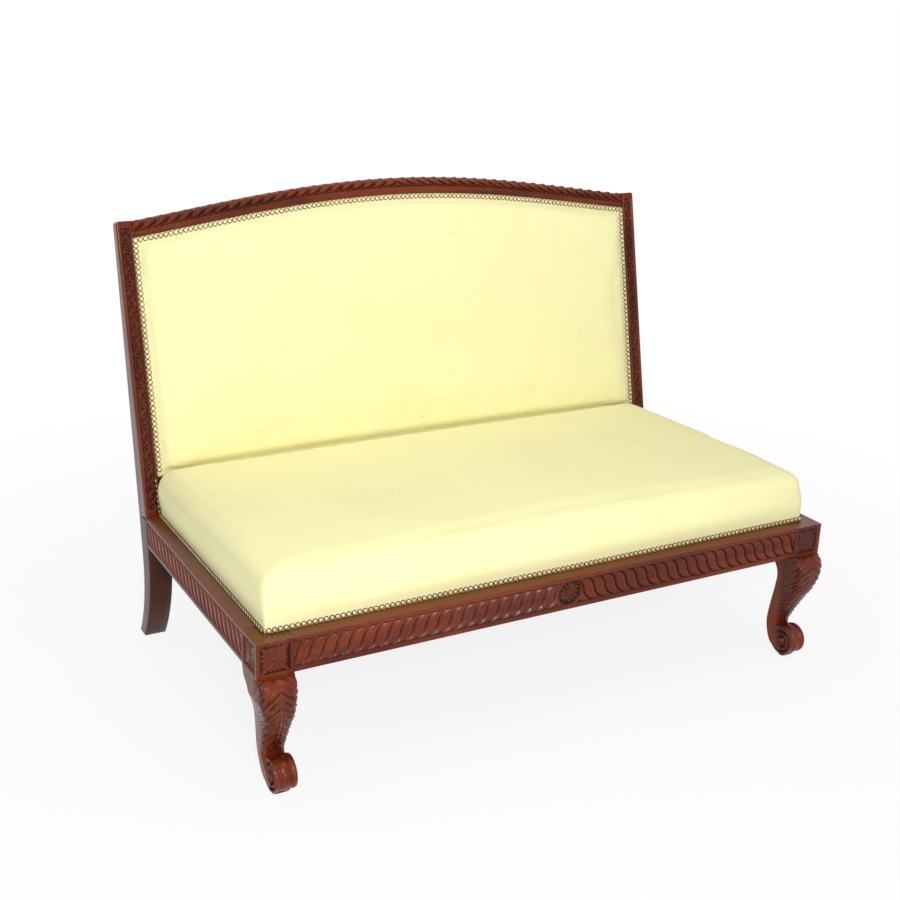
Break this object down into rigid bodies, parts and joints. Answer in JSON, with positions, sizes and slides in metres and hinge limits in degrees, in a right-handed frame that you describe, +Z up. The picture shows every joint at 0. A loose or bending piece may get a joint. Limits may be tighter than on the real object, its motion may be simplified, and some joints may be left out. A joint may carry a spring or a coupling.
{
  "type": "carved settee",
  "caption": "Upholstered settee with a carved show-wood frame, raked arched back, stuffed seat, scroll-footed front legs and raking rear legs.",
  "frame": {"origin": "on the floor, under the middle of the settee's length and of its depth from the knees to the top of the back", "axes": "+Z up, +X to the right as seen from the front, +Y from the front to the back"},
  "size_m": [1.32, 0.831, 0.9876],
  "materials": {
    "mahogany": "satin wax polish",
    "frame_beech": "planed, unfinished",
    "webbing": "woven jute",
    "hessian": "woven jute",
    "stuffing": "fibre",
    "pale_cloth": "fine plain weave",
    "dust_cloth": "plain weave",
    "nail_brass": "antique"
  },
  "bodies": {
    "root": {"front_leg_left": "mahogany", "front_leg_right": "mahogany", "rear_leg_left": "mahogany", "rear_leg_right": "mahogany", "front_rail": "mahogany", "side_rail_left": "mahogany", "side_rail_right": "mahogany", "crest_rail": "mahogany", "back_rail": "frame_beech", "lower_back_rail": "frame_beech", "back_upright": "frame_beech", "seat_cross_rail": "frame_beech", "corner_brace_front_left": "frame_beech", "corner_brace_front_right": "frame_beech", "corner_brace_rear_left": "frame_beech", "corner_brace_rear_right": "frame_beech", "seat_webbing": "webbing", "seat_hessian": "hessian", "seat_stuffing": "stuffing", "seat_cover": "pale_cloth", "seat_dust_cover": "dust_cloth", "back_webbing": "webbing", "back_hessian": "hessian", "back_stuffing": "stuffing", "back_cover": "pale_cloth", "outside_back_cover": "pale_cloth", "nails_seat_front": "nail_brass", "nails_seat_left": "nail_brass", "nails_seat_right": "nail_brass", "nails_back_left": "nail_brass", "nails_back_right": "nail_brass", "nails_back_top": "nail_brass"}
  },
  "joints": []
}
